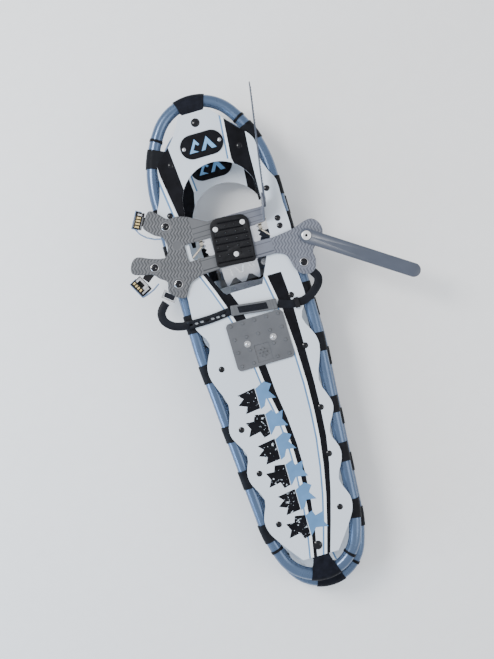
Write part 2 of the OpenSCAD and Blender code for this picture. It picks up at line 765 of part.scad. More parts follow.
// ---- heel strap, cushion, keeper and loop
strap_z = deck_top + body_gap;
heel_strap_t = 1.6;
left_strap_route = [
    [-140, 107.5], [-147, 101], [-153.5, 91], [-152, 76], [-138, 63], [-118, 58], [-96, 57],
    [-70, 57.5], [-34.2, 61]
];
right_strap_route = [
    [51.5, 50.6], [62, 46.5], [72, 43.4], [80, 43], [90, 43], [98, 43.4], [112, 49],
    [128, 62], [134, 76], [127, 90], [118, 104], [117, 109]
];
strap_hole_xs = [-108, -98, -88, -78, -68, -58, -48];
module heel_strap_left_shape() {
    // carried just over the deck rivet that it crosses
    color("black") translate([0, 0, harness_z + 0.2]) difference() {
        linear_extrude(heel_strap_t) polygon(ribbon(smooth(left_strap_route, 3), heel_strap_w));
        for (x = strap_hole_xs) translate([x, 57, -1]) {
            for (s = [-1, 1]) translate([s * 1.5, 0, 0]) cylinder(h = 4, r = 1.8);
            translate([-1.5, -1.8, 0]) cube([3, 3.6, 4]);
        }
    }
}
module heel_strap_right_shape() {
    color("black") translate([0, 0, strap_z]) difference() {
        linear_extrude(heel_strap_t) polygon(ribbon(smooth(right_strap_route, 3), heel_strap_w));
        translate([right_arm_rivet.x, right_arm_rivet.y, -1]) cylinder(h = 4, r = arm_hole_r);
    }
}
cushion_route = [[-33, 61], [-10, 58], [20, 54], [50, 51]];
cushion_t = 6.5;
module heel_cushion_shape() {
    color("gray") translate([0, 0, strap_z])
        linear_extrude(cushion_t) polygon(ribbon(smooth(cushion_route, 3), 19));
}
keeper_x = 85;
keeper_y = 43;
module heel_strap_keeper_shape() {
    w = heel_strap_w + 4;
    color("black") translate([keeper_x, keeper_y, strap_z + heel_strap_t / 2])
        difference() {
            translate([-4, -w / 2, -heel_strap_t / 2]) cube([8, w, 5]);
            translate([-5, -heel_strap_w / 2 - 2 * body_gap, -heel_strap_t])
                cube([10, heel_strap_w + 4 * body_gap, 1.5 * heel_strap_t + body_gap]);
        }
}
module heel_strap_loop_shape() {
    color("silver") translate([-131, 117, strap_z]) rotate([0, 0, -39]) difference() {
        translate([-13, -8, 0]) cube([26, 16, 1.7]);
        translate([-10, -5, -1]) cube([20, 10, 4]);
    }
}

// ---- lower shoe's binding, packed flat: its arms are folded over the pad
fold_z = pad_top + body_gap;
module lower_harness_shape() {
    color("gray") {
        difference() {
            harness_sheet([[-50, 228], [60, 228], [64, 198], [64, 168], [60, 138],
                [-50, 138], [-54, 168], [-54, 198]]);
            for (p = pad_screw_points()) translate([p.x, p.y, 0]) cylinder(h = 40, r = 1.65);
        }
        for (side = [-1, 1])
            translate([bind_x + side * 48, 0, harness_z])
                translate([side > 0 ? 0 : -harness_t, 140, 0])
                    cube([harness_t, 86, fold_z - harness_z + 1.8]);
        translate([bind_x - 50, 140, fold_z]) cube([100, 86, 1.8]);
    }
}
module lower_toe_straps_shape() {
    color("gray") for (y = [152, 196]) translate([bind_x - 44, y, fold_z + 1.8])
        cube([118, 24, 2]);
}
module lower_heel_strap_shape() {
    color("black") translate([0, 0, strap_z])
        linear_extrude(heel_strap_t) polygon(ribbon(smooth(
            [[-44, 131], [-60, 114], [-56, 90], [-30, 77], [5, 74], [40, 77], [66, 90],
            [70, 114], [54, 131]], 3), heel_strap_w));
}
module lower_arm_rivets_shape() {
    color("silver") for (y = [164, 208]) translate([bind_x + 40, y, fold_z + 3.8])
        cylinder(h = 0.8, r = 6);
}
module lower_buckles_shape() {
    color("black") for (y = [152, 196]) translate([bind_x - 65, y + 2, fold_z - 4])
        cube([14, 20, 9]);
}
module lower_end_wraps_shape() {
    toe_wrap_shape();
    tail_wrap_shape();
}

upper() toe_bow_shape();  // toe_bow
upper() left_rail_shape();  // left_rail
upper() right_rail_shape();  // right_rail
upper() tail_bow_shape();  // tail_bow
upper() frame_collars_shape();  // frame_collars
upper() deck_shape();  // deck
upper() toe_wrap_shape();  // toe_wrap
upper() tail_wrap_shape();  // tail_wrap
upper() deck_clips_shape();  // deck_clips
upper() deck_rivets_shape();  // deck_rivets
upper() badge_plate_shape();  // badge_plate
upper() badge_rivets_shape();  // badge_rivets
upper() heel_plate_shape();  // heel_plate
upper() heel_bolts_shape();  // heel_bolts
upper() heel_crampon_shape();  // heel_crampon
upper() pivot_straps_shape();  // pivot_straps
upper() pivot_rings_shape();  // pivot_rings
upper() toe_crampon_shape();  // toe_crampon
upper() foot_pad_shape();  // foot_pad
upper() pad_screws_shape();  // pad_screws
upper() harness_base_shape();  // harness_base
upper() left_arms_shape();  // left_arms
upper() front_right_arm_shape();  // front_right_arm
upper() rear_right_arm_shape();  // rear_right_arm
upper() arm_rivets_shape();  // arm_rivets
upper() front_buckle_shape();  // front_buckle
upper() front_buckle_lever_shape();  // front_buckle_lever
upper() rear_buckle_shape();  // rear_buckle
upper() rear_buckle_lever_shape();  // rear_buckle_lever
upper() front_toe_strap_shape();  // front_toe_strap
upper() rear_toe_strap_shape();  // rear_toe_strap
upper() heel_strap_left_shape();  // heel_strap_left
upper() heel_strap_right_shape();  // heel_strap_right
upper() heel_cushion_shape();  // heel_cushion
upper() heel_strap_keeper_shape();  // heel_strap_keeper
upper() heel_strap_loop_shape();  // heel_strap_loop
lower() toe_bow_shape();  // lower_toe_bow
lower() left_rail_shape();  // lower_left_rail
lower() right_rail_shape();  // lower_right_rail
lower() tail_bow_shape();  // lower_tail_bow
lower() frame_collars_shape();  // lower_frame_collars
lower() deck_shape();  // lower_deck
lower() lower_end_wraps_shape();  // lower_end_wraps
lower() deck_clips_shape();  // lower_deck_clips
lower() deck_rivets_shape();  // lower_deck_rivets
lower() badge_plate_shape();  // lower_badge_plate
lower() heel_plate_shape();  // lower_heel_plate
lower() heel_bolts_shape();  // lower_heel_bolts
lower() heel_crampon_shape();  // lower_heel_crampon
lower() pivot_straps_shape();  // lower_pivot_straps
lower() pivot_rings_shape();  // lower_pivot_rings
lower() toe_crampon_shape();  // lower_toe_crampon
lower() foot_pad_shape();  // lower_foot_pad
lower() pad_screws_shape();  // lower_pad_screws
lower() lower_harness_shape();  // lower_harness
lower() lower_toe_straps_shape();  // lower_toe_straps
lower() lower_heel_strap_shape();  // lower_heel_strap
lower() lower_arm_rivets_shape();  // lower_arm_rivets
lower() lower_buckles_shape();  // lower_buckles
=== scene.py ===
"""Pair of snowshoes: looks, soft pieces, printed graphics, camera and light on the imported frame."""
import bpy
import bmesh
import math
from mathutils import Matrix, Vector


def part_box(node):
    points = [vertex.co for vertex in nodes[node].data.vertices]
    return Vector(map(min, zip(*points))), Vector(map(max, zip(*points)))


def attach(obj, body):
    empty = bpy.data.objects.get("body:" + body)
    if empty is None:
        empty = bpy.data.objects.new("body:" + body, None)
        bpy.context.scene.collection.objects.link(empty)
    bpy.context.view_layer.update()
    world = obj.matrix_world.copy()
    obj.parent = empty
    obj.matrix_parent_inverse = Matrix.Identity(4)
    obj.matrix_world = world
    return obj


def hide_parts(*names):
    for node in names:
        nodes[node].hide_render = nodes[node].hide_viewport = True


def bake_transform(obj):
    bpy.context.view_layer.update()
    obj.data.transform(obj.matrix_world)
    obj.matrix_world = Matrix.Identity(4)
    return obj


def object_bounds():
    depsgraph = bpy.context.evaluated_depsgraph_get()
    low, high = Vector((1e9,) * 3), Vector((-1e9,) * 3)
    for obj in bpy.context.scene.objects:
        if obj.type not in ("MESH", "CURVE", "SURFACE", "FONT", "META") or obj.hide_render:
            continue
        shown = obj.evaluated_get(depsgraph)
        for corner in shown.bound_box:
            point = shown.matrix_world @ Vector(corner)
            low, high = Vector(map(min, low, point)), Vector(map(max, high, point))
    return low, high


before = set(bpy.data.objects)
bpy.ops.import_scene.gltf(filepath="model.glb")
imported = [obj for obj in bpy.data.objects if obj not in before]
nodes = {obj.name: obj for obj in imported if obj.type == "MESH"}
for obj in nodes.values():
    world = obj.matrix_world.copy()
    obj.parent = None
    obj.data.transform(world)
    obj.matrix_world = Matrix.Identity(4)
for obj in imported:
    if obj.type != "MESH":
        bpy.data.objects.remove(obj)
cad_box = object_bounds()
MM = 0.001

# ---- shoe frames: x right, y to the toe, z up from the tube's centre line, in millimetres
DECK_TOP = 15.0
DECK_FRONT = 422.0
HARNESS_FOOT = 17.0
HARNESS_TOP = 20.0
BIND_X = 5.0


def shoe_origin(deck_node):
    """Where a shoe's own origin lies in the row frame, from its deck's box."""
    low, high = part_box(deck_node)
    return Vector(((low[0] + high[0]) / 2, high[1] - DECK_FRONT * MM, high[2] - DECK_TOP * MM))


UPPER = shoe_origin("deck")
LOWER = shoe_origin("lower_deck")


def at(x, y, z, origin=UPPER):
    """A point of a shoe, in millimetres, as a vector in the row frame."""
    return origin + Vector((x, y, z)) * MM


# ---- camera, light and floor
CAMERA_XY = (-14.4, 21.3)
CAMERA_HEIGHT = 1750.0
CAMERA_LENS = 52.9
CAMERA_SENSOR = 36.0
IMAGE_UP = (0.279, 0.960, 0.0)
SKY_COLOR, SKY_STRENGTH = (0.93, 0.96, 1.0, 1), 0.95
# name, then place, target and size in metres, power in watts, and colour
LIGHTS = [
    ("key", (-1.1, 0.9, 1.9), (0, -0.1, 0), 0.9, 46, (1, 1, 1)),
    ("fill", (1.6, -0.9, 1.6), (0, -0.1, 0), 1.6, 15, (1, 1, 1)),
    ("window", (-2.0, -0.5, 0.75), (0, -0.15, 0), 1.0, 26, (0.5, 0.72, 1.0)),
]
FLOOR_HALF = 6.0


def make_camera():
    data = bpy.data.cameras.new("camera")
    data.lens = CAMERA_LENS
    data.sensor_width = CAMERA_SENSOR
    cam = bpy.data.objects.new("camera", data)
    bpy.context.scene.collection.objects.link(cam)
    up = Vector(IMAGE_UP).normalized()
    right = up.cross(Vector((0, 0, 1)))
    turn = Matrix((right, up, Vector((0, 0, 1)))).transposed().to_4x4()
    cam.matrix_world = Matrix.Translation(at(*CAMERA_XY, CAMERA_HEIGHT)) @ turn
    bpy.context.scene.camera = cam


def area_light(name, place, target, size, power, color):
    data = bpy.data.lights.new(name, "AREA")
    data.shape = "DISK"
    data.size = size
    data.energy = power
    data.color = color
    obj = bpy.data.objects.new(name, data)
    bpy.context.scene.collection.objects.link(obj)
    obj.location = place
    obj.rotation_mode = "QUATERNION"
    obj.rotation_quaternion = (Vector(target) - Vector(place)).to_track_quat("-Z", "Y")


def make_stage():
    world = bpy.data.worlds.new("studio")
    bpy.context.scene.world = world
    world.use_nodes = True
    background = world.node_tree.nodes["Background"]
    background.inputs["Color"].default_value = SKY_COLOR
    background.inputs["Strength"].default_value = SKY_STRENGTH
    for light in LIGHTS:
        area_light(*light)
    mesh = bpy.data.meshes.new("floor")
    corners = [(sx * FLOOR_HALF, sy * FLOOR_HALF, cad_box[0][2])
               for sx, sy in ((-1, -1), (1, -1), (1, 1), (-1, 1))]
    mesh.from_pydata(corners, [], [(0, 1, 2, 3)])
    floor = bpy.data.objects.new("floor", mesh)
    bpy.context.scene.collection.objects.link(floor)
    floor.data.materials.append(surface("floor_paper", (0.97, 0.97, 0.97), rough=0.9, vary=0.01))


# ---- materials
PAINTED_GROOVE_SHADE = "painted_groove_shade"
BUMP_DEPTH = 0.0004
SCRATCH_SCALE = 90.0
SPECK_EDGE = 0.03


def surface(name, color, rough=0.5, metal=0.0, vary=0.08, vary_scale=40.0, grain=0.0,
            grain_scale=900.0, scratch=0.0, scratch_along=(1, 40, 1), speck=None, coat=0.0,
            rough_vary=0.1, painted_groove_shade=None, spec=0.5):
    """A procedural surface: uneven colour and roughness, moulded grain, drawn-out scratches, specks,
    and painted shade in grooves.
    """
    mat = bpy.data.materials.new(name)
    mat.use_nodes = True
    tree = mat.node_tree
    shader = tree.nodes["Principled BSDF"]
    shader.inputs["Metallic"].default_value = metal
    shader.inputs["Coat Weight"].default_value = coat
    shader.inputs["Specular IOR Level"].default_value = spec
    place = tree.nodes.new("ShaderNodeTexCoord")

    def noise(scale, detail=3.0, stretch=None):
        node = tree.nodes.new("ShaderNodeTexNoise")
        node.inputs["Scale"].default_value = scale
        node.inputs["Detail"].default_value = detail
        source = place.outputs["Object"]
        if stretch:
            mapping = tree.nodes.new("ShaderNodeMapping")
            mapping.inputs["Scale"].default_value = stretch
            tree.links.new(source, mapping.inputs["Vector"])
            source = mapping.outputs["Vector"]
        tree.links.new(source, node.inputs["Vector"])
        return node.outputs["Fac"]

    def overlaid(base, tint, amount):
        mix = tree.nodes.new("ShaderNodeMixRGB")
        mix.inputs["Color2"].default_value = (*tint, 1)
        tree.links.new(amount, mix.inputs["Fac"])
        tree.links.new(base, mix.inputs["Color1"])
        return mix.outputs["Color"]

    ramp = tree.nodes.new("ShaderNodeValToRGB")
    ramp.color_ramp.elements[0].position = 0.3
    ramp.color_ramp.elements[1].position = 0.7
    ramp.color_ramp.elements[0].color = (*[c * (1 - vary) for c in color], 1)
    ramp.color_ramp.elements[1].color = (*[min(1, c * (1 + vary)) for c in color], 1)
    tree.links.new(noise(vary_scale), ramp.inputs["Fac"])
    color_out = ramp.outputs["Color"]
    if speck:
        amount, scale, tint = speck
        step = tree.nodes.new("ShaderNodeValToRGB")
        step.color_ramp.elements[0].position = 1 - amount
        step.color_ramp.elements[1].position = 1 - amount + SPECK_EDGE
        tree.links.new(noise(scale, 2.0), step.inputs["Fac"])
        color_out = overlaid(color_out, tint, step.outputs["Color"])
    # painted shade: a darker groove colour laid over the base wherever the mesh's groove attribute
    # marks a hollow
    if painted_groove_shade:
        groove_shade = tree.nodes.new("ShaderNodeAttribute")
        groove_shade.attribute_name = PAINTED_GROOVE_SHADE
        color_out = overlaid(color_out, painted_groove_shade, groove_shade.outputs["Fac"])
    tree.links.new(color_out, shader.inputs["Base Color"])

    spread = tree.nodes.new("ShaderNodeMapRange")
    spread.inputs["To Min"].default_value = max(0.03, rough - rough_vary)
    spread.inputs["To Max"].default_value = min(1.0, rough + rough_vary)
    tree.links.new(noise(vary_scale * 3, 4.0), spread.inputs["Value"])
    tree.links.new(spread.outputs["Result"], shader.inputs["Roughness"])

    normal = None
    for amount, source in ((grain, lambda: noise(grain_scale, 2.0)),
                           (scratch, lambda: noise(SCRATCH_SCALE, 5.0, scratch_along))):
        if amount:
            bump = tree.nodes.new("ShaderNodeBump")
            bump.inputs["Strength"].default_value = amount
            bump.inputs["Distance"].default_value = BUMP_DEPTH
            tree.links.new(source(), bump.inputs["Height"])
            if normal:
                tree.links.new(normal, bump.inputs["Normal"])
            normal = bump.outputs["Normal"]
    if normal:
        tree.links.new(normal, shader.inputs["Normal"])
    return mat


M = {
    "tube": surface("tube_anodised", (0.100, 0.150, 0.245), rough=0.27, metal=0.7, vary=0.08,
                    vary_scale=14, grain=0.06, grain_scale=1500, scratch=0.05,
                    scratch_along=(3, 0.6, 3)),
    "deck": surface("deck_sheet", (0.66, 0.715, 0.78), rough=0.30, vary=0.035, vary_scale=5,
                    grain=0.10, grain_scale=700, coat=0.25),
    "ink_black": surface("ink_black", (0.006, 0.006, 0.008), rough=0.40, vary=0.35, vary_scale=60,
                         grain=0.10, grain_scale=700, spec=0.07),
    "ink_worn": surface("ink_worn", (0.006, 0.006, 0.008), rough=0.42, vary=0.3, vary_scale=60,
                        grain=0.1, speck=(0.355, 260, (0.60, 0.66, 0.72)), spec=0.07),
    "ink_blue": surface("ink_blue", (0.095, 0.215, 0.40), rough=0.40, vary=0.10, vary_scale=50,
                        grain=0.10, grain_scale=700, coat=0.1),
    "ink_pale": surface("ink_pale", (0.86, 0.90, 0.93), rough=0.36, vary=0.03, vary_scale=30,
                        grain=0.08, coat=0.2),
    "strap": surface("strap_black", (0.008, 0.0085, 0.011), rough=0.5, vary=0.3, vary_scale=70,
                     grain=0.28, grain_scale=1300, scratch=0.12, scratch_along=(1, 1, 1),
                     spec=0.08),
    "webbing": surface("webbing_black", (0.007, 0.008, 0.013), rough=0.55, vary=0.35,
                       vary_scale=120, grain=0.4, grain_scale=1800, scratch=0.2,
                       scratch_along=(30, 1, 1), spec=0.08),
    "gloss": surface("rivet_black", (0.006, 0.006, 0.008), rough=0.16, vary=0.3, vary_scale=200,
                     grain=0.05, coat=0.12, rough_vary=0.05, spec=0.25),
    "badge": surface("badge_black", (0.007, 0.007, 0.009), rough=0.42, vary=0.25, vary_scale=90,
                     grain=0.12, grain_scale=900, spec=0.07),
    "emblem": surface("emblem_blue", (0.16, 0.36, 0.62), rough=0.4, vary=0.15, vary_scale=300,
                      grain=0.2, grain_scale=1500),
    "steel": surface("steel_brushed", (0.60, 0.60, 0.62), rough=0.26, metal=1.0, vary=0.1,
                     vary_scale=150, grain=0.05, scratch=0.16, scratch_along=(1, 30, 1)),
    "cheek": surface("cheek_zinc_blue", (0.24, 0.33, 0.50), rough=0.24, metal=0.9, vary=0.12,
                     vary_scale=130, scratch=0.15),
    "white_washer": surface("washer_plated", (0.84, 0.84, 0.85), rough=0.3, metal=0.6, vary=0.06,
                            vary_scale=200, scratch=0.1),
    "crampon": surface("crampon_plate", (0.72, 0.73, 0.77), rough=0.30, metal=0.9, vary=0.07,
                       vary_scale=60, grain=0.06, scratch=0.2, scratch_along=(25, 1, 1)),
    "wire": surface("wire_zinc", (0.66, 0.60, 0.50), rough=0.25, metal=1.0, vary=0.12,
                    vary_scale=160, scratch=0.1),
    "brass": surface("brass_pin", (0.75, 0.58, 0.27), rough=0.28, metal=1.0, vary=0.1,
                     vary_scale=200, scratch=0.1),
    "heel_plate": surface("heel_plate_grey", (0.092, 0.095, 0.104), rough=0.42, vary=0.1,
                          vary_scale=30, grain=0.25, grain_scale=1100),
    "pad": surface("pad_rubber", (0.008, 0.008, 0.0095), rough=0.42, vary=0.3, vary_scale=90,
                   grain=0.3, grain_scale=1400, spec=0.16),
    # the groove colours below are painted shade for the hollows of the moulded relief, not a
    # different rubber
    "harness": surface("harness_rubber", (0.108, 0.110, 0.117), rough=0.5, vary=0.07,
                       vary_scale=45, grain=0.3, grain_scale=1500, painted_groove_shade=(0.022, 0.023, 0.027)),
    # painted light: the same harness rubber made lighter and bluer for the right half, as a lit copy;
    # its groove colour is painted shade
    "harness_right": surface("harness_rubber_painted_lighter", (0.150, 0.160, 0.195), rough=0.46, vary=0.07,
                             vary_scale=45, grain=0.3, grain_scale=1500,
                             painted_groove_shade=(0.052, 0.058, 0.078)),
    "cushion": surface("cushion_rubber", (0.085, 0.088, 0.095), rough=0.5, vary=0.08,
                       vary_scale=60, grain=0.3, grain_scale=1300),
    "toe_strap": surface("toe_strap_urethane", (0.062, 0.072, 0.098), rough=0.36, vary=0.08,
                         vary_scale=30, grain=0.15, grain_scale=900, scratch=0.05),
    "heel_strap": surface("heel_strap_black", (0.006, 0.007, 0.011), rough=0.38, vary=0.25,
                          vary_scale=80, grain=0.15, grain_scale=1200, spec=0.16),
}

CAD_LOOKS = {
    "tube": ["toe_bow", "left_rail", "right_rail", "tail_bow"],
    "strap": ["frame_collars", "deck_clips", "pivot_straps", "lower_buckles"],
    "webbing": ["toe_wrap", "tail_wrap", "lower_end_wraps"],
    "deck": ["deck"],
    "gloss": ["deck_rivets", "front_buckle", "rear_buckle", "heel_strap_keeper"],
    "badge": ["badge_plate"],
    "steel": ["badge_rivets", "heel_bolts", "pad_screws", "arm_rivets", "front_buckle_lever",
              "rear_buckle_lever", "heel_strap_loop"],
    "crampon": ["heel_crampon", "toe_crampon"],
    "wire": ["pivot_rings"],
    "heel_plate": ["heel_plate"],
    "pad": ["foot_pad"],
}


def dress_cad_nodes():
    """Gives each CAD node its material, and its twin on the lower shoe the same one."""
    for look, names in CAD_LOOKS.items():
        for name in names:
            for full in (name, "lower_" + name):
                if full in nodes:
                    nodes[full].data.materials.clear()
                    nodes[full].data.materials.append(M[look])


# ---- mesh helpers; outlines are in a shoe's millimetres
def link(name, mesh, mat, body=None):
    """Puts a mesh in the scene, and attaches it to its body when one is given."""
    obj = bpy.data.objects.new(name, mesh)
    bpy.context.scene.collection.objects.link(obj)
    mesh.materials.clear()
    mesh.materials.append(M[mat])
    if body:
        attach(obj, body)
    return obj


def prism(bm, outline, z0, z1, origin=UPPER):
    """Adds an extruded outline to bm."""
    low = [bm.verts.new(at(x, y, z0, origin)) for x, y in outline]
    high = [bm.verts.new(at(x, y, z1, origin)) for x, y in outline]
    n = len(outline)
    area = sum(outline[i][0] * outline[(i + 1) % n][1] - outline[(i + 1) % n][0] * outline[i][1]
               for i in range(n))
    if area < 0:
        low, high = low[::-1], high[::-1]
    bm.faces.new(low[::-1])
    bm.faces.new(high)
    for i in range(n):
        bm.faces.new((low[i], low[(i + 1) % n], high[(i + 1) % n], high[i]))


def lathe(bm, place, profile, steps=32, turn=Matrix.Identity(3)):
    """Adds a turned shape at place: profile is (radius, height) in millimetres, from the foot up."""
    rings = []
    for r, h in profile:
        rings.append([bm.verts.new(place + turn @ Vector((
            r * math.cos(2 * math.pi * k / steps), r * math.sin(2 * math.pi * k / steps), h)) * MM)
            for k in range(steps)])
    for a, b in zip(rings, rings[1:]):
        for k in range(steps):
            bm.faces.new((a[k], a[(k + 1) % steps], b[(k + 1) % steps], b[k]))
    bm.faces.new(rings[0][::-1])
    bm.faces.new(rings[-1])


# angles in degrees: edges sharper than these stay creased, or are bevelled
TURNED_CREASE = 35.0
MOULDED_CREASE = 40.0
BEVEL_FROM = 50.0
FINE_EDGE = 0.35


def smoothed(mesh, crease=None):
    """Shades a mesh smooth, except at the edges sharper than crease."""
    for p in mesh.polygons:
        p.use_smooth = True
    if crease:
        mesh.set_sharp_from_angle(angle=math.radians(crease))
    return mesh


def finished(bm, name, smooth=True):
    """Turns bm into a mesh whose faces look outward."""
    mesh = bpy.data.meshes.new(name)
    bmesh.ops.recalc_face_normals(bm, faces=bm.faces)
    bm.to_mesh(mesh)
    bm.free()
    return smoothed(mesh, TURNED_CREASE) if smooth else mesh


def modified(mesh, *modifiers):
    """Runs modifiers, each (type, {setting: value}), on a mesh and returns the result."""
    obj = bpy.data.objects.new("work", mesh)
    bpy.context.scene.collection.objects.link(obj)
    for kind, settings in modifiers:
        m = obj.modifiers.new(kind.lower(), kind)
        for key, value in settings.items():
            setattr(m, key, value)
    bpy.context.view_layer.update()
    graph = bpy.context.evaluated_depsgraph_get()
    result = bpy.data.meshes.new_from_object(obj.evaluated_get(graph))
    bpy.data.objects.remove(obj)
    return result


def edge_bevel(width, segments=2):
    """The modifier that rounds a piece's edges by width millimetres."""
    return ("BEVEL", {"width": width * MM, "segments": segments, "limit_method": "ANGLE",
                      "angle_limit": math.radians(BEVEL_FROM)})


def turned(points, centre, degrees):
    """Points turned about their own origin, which then moves to centre."""
    c, s = math.cos(math.radians(degrees)), math.sin(math.radians(degrees))
    return [(centre[0] + c * u - s * v, centre[1] + s * u + c * v) for u, v in points]


# ---- printed graphics: thin layers cut to the deck's own outline
PRINT_RISE = 0.10
PRINT_DEPTH = 0.5
TOE_BANDS = {
    "black": [[(52, 416), (84, 402), (78, 325), (75, 225), (66, 225), (44, 325)],
              [(-60, 374), (-53, 289), (-66, 225), (-72, 225), (-87, 327), (-88, 350)]],
    "blue": [[(44.5, 416), (47.5, 416), (39.5, 325), (36.5, 325)],
             [(-91, 324), (-79.3, 225), (-82.3, 225), (-94.5, 322)]],
    "pale": [[(47.5, 416), (52, 416), (44, 325), (39.5, 325)],
             [(-87, 327), (-75, 225), (-79.3, 225), (-91, 324)]],
}
# each rear band at stations along the shoe: y, then its centre in x and its width
RIGHT_BAND = [(104, 60, 26), (70, 64, 23), (40, 67, 20), (-30, 69, 15), (-100, 69, 12.5),
              (-150, 67, 12), (-200, 63, 12), (-250, 55, 10.5), (-300, 44, 8.5),
              (-350, 30.5, 7), (-404, 14.5, 6)]
LEFT_BAND = [(138, -52, 22), (100, -38, 20), (70, -27, 21), (20, -15, 17), (-50, -6.5, 14),
             (-100, -2, 12), (-150, 6, 9.5), (-200, 10, 9), (-250, 10, 9), (-300, 6.5, 8.5),
             (-350, 0.5, 7), (-404, -10, 6)]


def band(stations, strip=None):
    """Outline of a band, or of a strip of it: the strip's two offsets from its left edge."""
    left = [(x - w / 2, y) for y, x, w in stations]
    right = [(x + w / 2, y) for y, x, w in stations]
    if strip:
        right = [(x + strip[1], y) for x, y in left]
        left = [(x + strip[0], y) for x, y in left]
    return left + right[::-1]


MARK_TOP, MARK_PITCH, MARK_COUNT = -84.0, 48.5, 6
# the rows stand at MARK_X where y is MARK_FROM, and drift right towards the tail
MARK_X, MARK_FROM, MARK_DRIFT, MARK_RUN = -33.0, -66.0, 27.5, 279
BLACK_PEAK = [(0, 1), (-33, -4), (-24, -13), (-36, -22), (-21, -28), (-27, -40), (0, -37)]
BLACK_RIDGE = [(0, 0), (-18, 3), (-22, -8), (-37, -7), (-31, -20), (-38, -33), (-16, -29),
               (-12, -41), (0, -38)]
BLUE_PEAK = [(1, -1), (19, 8), (31, 0), (23, -11), (33, -26), (15, -23), (9, -35), (1, -39)]
BLUE_RIDGE = [(1, -1), (14, 4), (18, -6), (33, -2), (28, -17), (35, -31), (13, -27), (1, -40)]


def graphic_blocks():
    """Two rows of jagged shapes down the deck, black on the left and blue on the right."""
    black, blue = [], []
    for i in range(MARK_COUNT):
        y = MARK_TOP - i * MARK_PITCH
        x = MARK_X + MARK_DRIFT * (MARK_FROM - y) / MARK_RUN
        for row, shapes in ((black, (BLACK_PEAK, BLACK_RIDGE)), (blue, (BLUE_PEAK, BLUE_RIDGE))):
            row.append([(x + u, y + v) for u, v in shapes[i % 2]])
    return black, blue


def deck_print(name, outlines, mat, deck_node, origin, body, lift=0.0):
    """Cuts the outlines' prisms with the deck and lays the result just over its top."""
    bm = bmesh.new()
    for outline in outlines:
        prism(bm, outline, DECK_TOP - PRINT_DEPTH, DECK_TOP + 2, origin)
    mesh = finished(bm, name, smooth=False)
    mesh = modified(mesh, ("BOOLEAN", {"object": nodes[deck_node], "operation": "INTERSECT",
                                       "solver": "EXACT", "use_self": True}))
    raise_by = (PRINT_RISE + lift) * MM
    for v in mesh.vertices:
        v.co.z += raise_by
    for p in mesh.polygons:
        p.use_smooth = False
    link(name, mesh, mat, body)


def mirrored(outlines):
    return [[(-x, y) for x, y in outline] for outline in outlines]


# name prefix, deck node, origin and body of each shoe
SHOES = (("", "deck", UPPER, "upper_frame"), ("lower_", "lower_deck", LOWER, "lower_frame"))


def make_prints():
    """The lower shoe is for the other foot, so its prints are mirrored."""
    black_marks, blue_marks = graphic_blocks()
    bands = [band(RIGHT_BAND), band(LEFT_BAND)]
    pale = [band(RIGHT_BAND, (-4.5, 0)), band(LEFT_BAND, (-5.5, 0))]
    blue = [band(RIGHT_BAND, (-8, -5)), band(LEFT_BAND, (-8.5, -5.5))]
    layers = (("deck_bands", TOE_BANDS["black"] + bands, "ink_black", 0.0),
              ("deck_pinstripes", TOE_BANDS["blue"] + blue, "ink_blue", 0.0),
              ("deck_highlights", TOE_BANDS["pale"] + pale, "ink_pale", 0.0),
              ("deck_marks_black", black_marks, "ink_worn", 0.03),
              ("deck_marks_blue", blue_marks, "ink_blue", 0.06))
    for prefix, deck_node, origin, body in SHOES:
        side = mirrored if prefix else list
        for name, outlines, mat, lift in layers:
            deck_print(prefix + name, side(outlines), mat, deck_node, origin, body, lift)


# ---- emblems: two angular shapes on the badge, and a six-armed star on the heel plate
BADGE_TOP = DECK_TOP + 1.2
BADGE_SHAPES = [
    [(-25, 351), (-11, 375), (-4, 364), (-7, 362), (-11, 366), (-17, 356), (-8, 351)],
    [(-3, 351), (6, 366), (11, 375), (25, 351), (16, 351), (10, 362), (4, 351)],
]
STAR_C = (3, -26)
STAR_FOOT = DECK_TOP + 1.7
STAR_ARM = [(1.2, -1.2), (10.5, -0.9), (10.5, 0.9), (1.2, 1.2)]
STAR_BARB = [(5.5, -4.2), (6.8, -4.2), (7.7, 0), (6.8, 4.2), (5.5, 4.2), (6.4, 0)]


def make_emblems():
    for prefix, _, origin, body in SHOES:
        bm = bmesh.new()
        for outline in BADGE_SHAPES:
            prism(bm, outline, BADGE_TOP - 0.2, BADGE_TOP + 0.5, origin)
        link(prefix + "badge_emblem", finished(bm, "badge_emblem", smooth=False), "emblem",
             body)
        bm = bmesh.new()
        for k in range(6):
            angle = 60 * k + 30
            prism(bm, turned(STAR_ARM, STAR_C, angle), STAR_FOOT, STAR_FOOT + 0.8, origin)
            prism(bm, turned(STAR_BARB, STAR_C, angle), STAR_FOOT, STAR_FOOT + 0.7, origin)
        link(prefix + "heel_emblem", finished(bm, "heel_emblem", smooth=False), "heel_plate",
             body)


# ---- moulded rubber: the CAD solid remeshed, its edges rounded, its relief raised, and painted shade marked in its hollows
RIB_PITCH = 5.8
ZIG_LENGTH = 12.5
ZIG_SWING = 4.2


def zigzag(x, y):
    """Height of the wavy ribs, 0 to 1: crests run nearly along the shoe and bend to and fro."""
    across = IMAGE_UP[1] * x - IMAGE_UP[0] * y
    along = IMAGE_UP[0] * x + IMAGE_UP[1] * y
    bend = abs((along / ZIG_LENGTH) % 1.0 - 0.5) * 2 * ZIG_SWING
    return 0.5 + 0.5 * math.sin(2 * math.pi * (across + bend) / RIB_PITCH)


